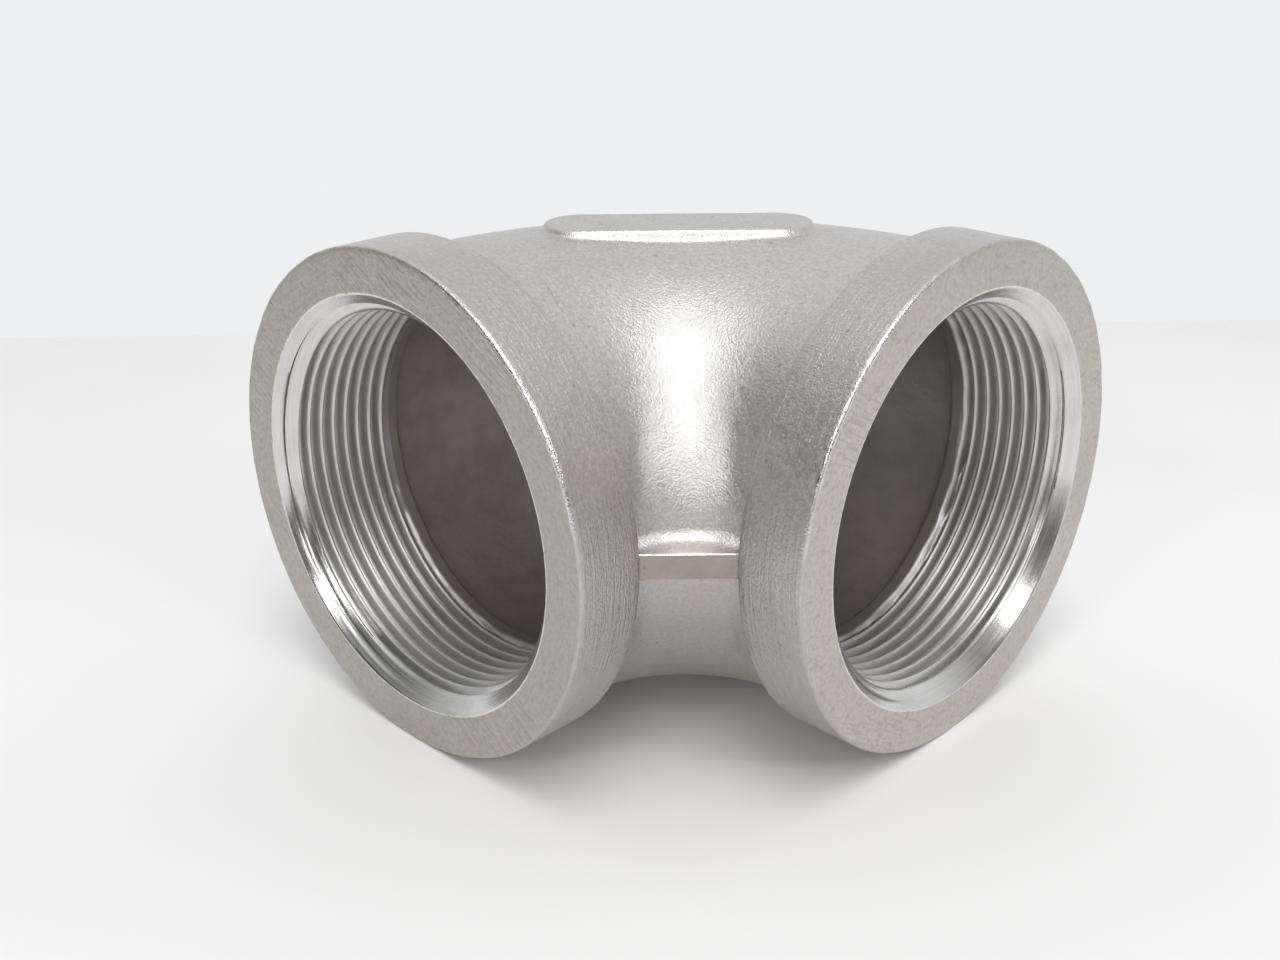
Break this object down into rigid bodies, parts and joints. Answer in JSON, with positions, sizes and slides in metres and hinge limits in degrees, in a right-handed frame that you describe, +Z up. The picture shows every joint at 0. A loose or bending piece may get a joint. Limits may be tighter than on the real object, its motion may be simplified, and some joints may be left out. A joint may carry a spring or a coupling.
{
  "type": "pipe elbow",
  "caption": "Right-angle cast stainless pipe elbow with female taper-threaded ports, band collars, a throat rib and a blank raised marking pad.",
  "frame": {"origin": "middle of the footprint, on the surface that the lowest lines of the two collars rest on", "axes": "+X out of one port, -Y out of the other port, +Z up, square to the plane of the two port axes"},
  "size_m": [0.0948, 0.0948, 0.0752],
  "materials": {
    "cast_stainless": "fine blasted investment casting, satin grey, with bright machined faces and threads"
  },
  "bodies": {
    "root": {"elbow_body": "cast_stainless"}
  },
  "joints": []
}
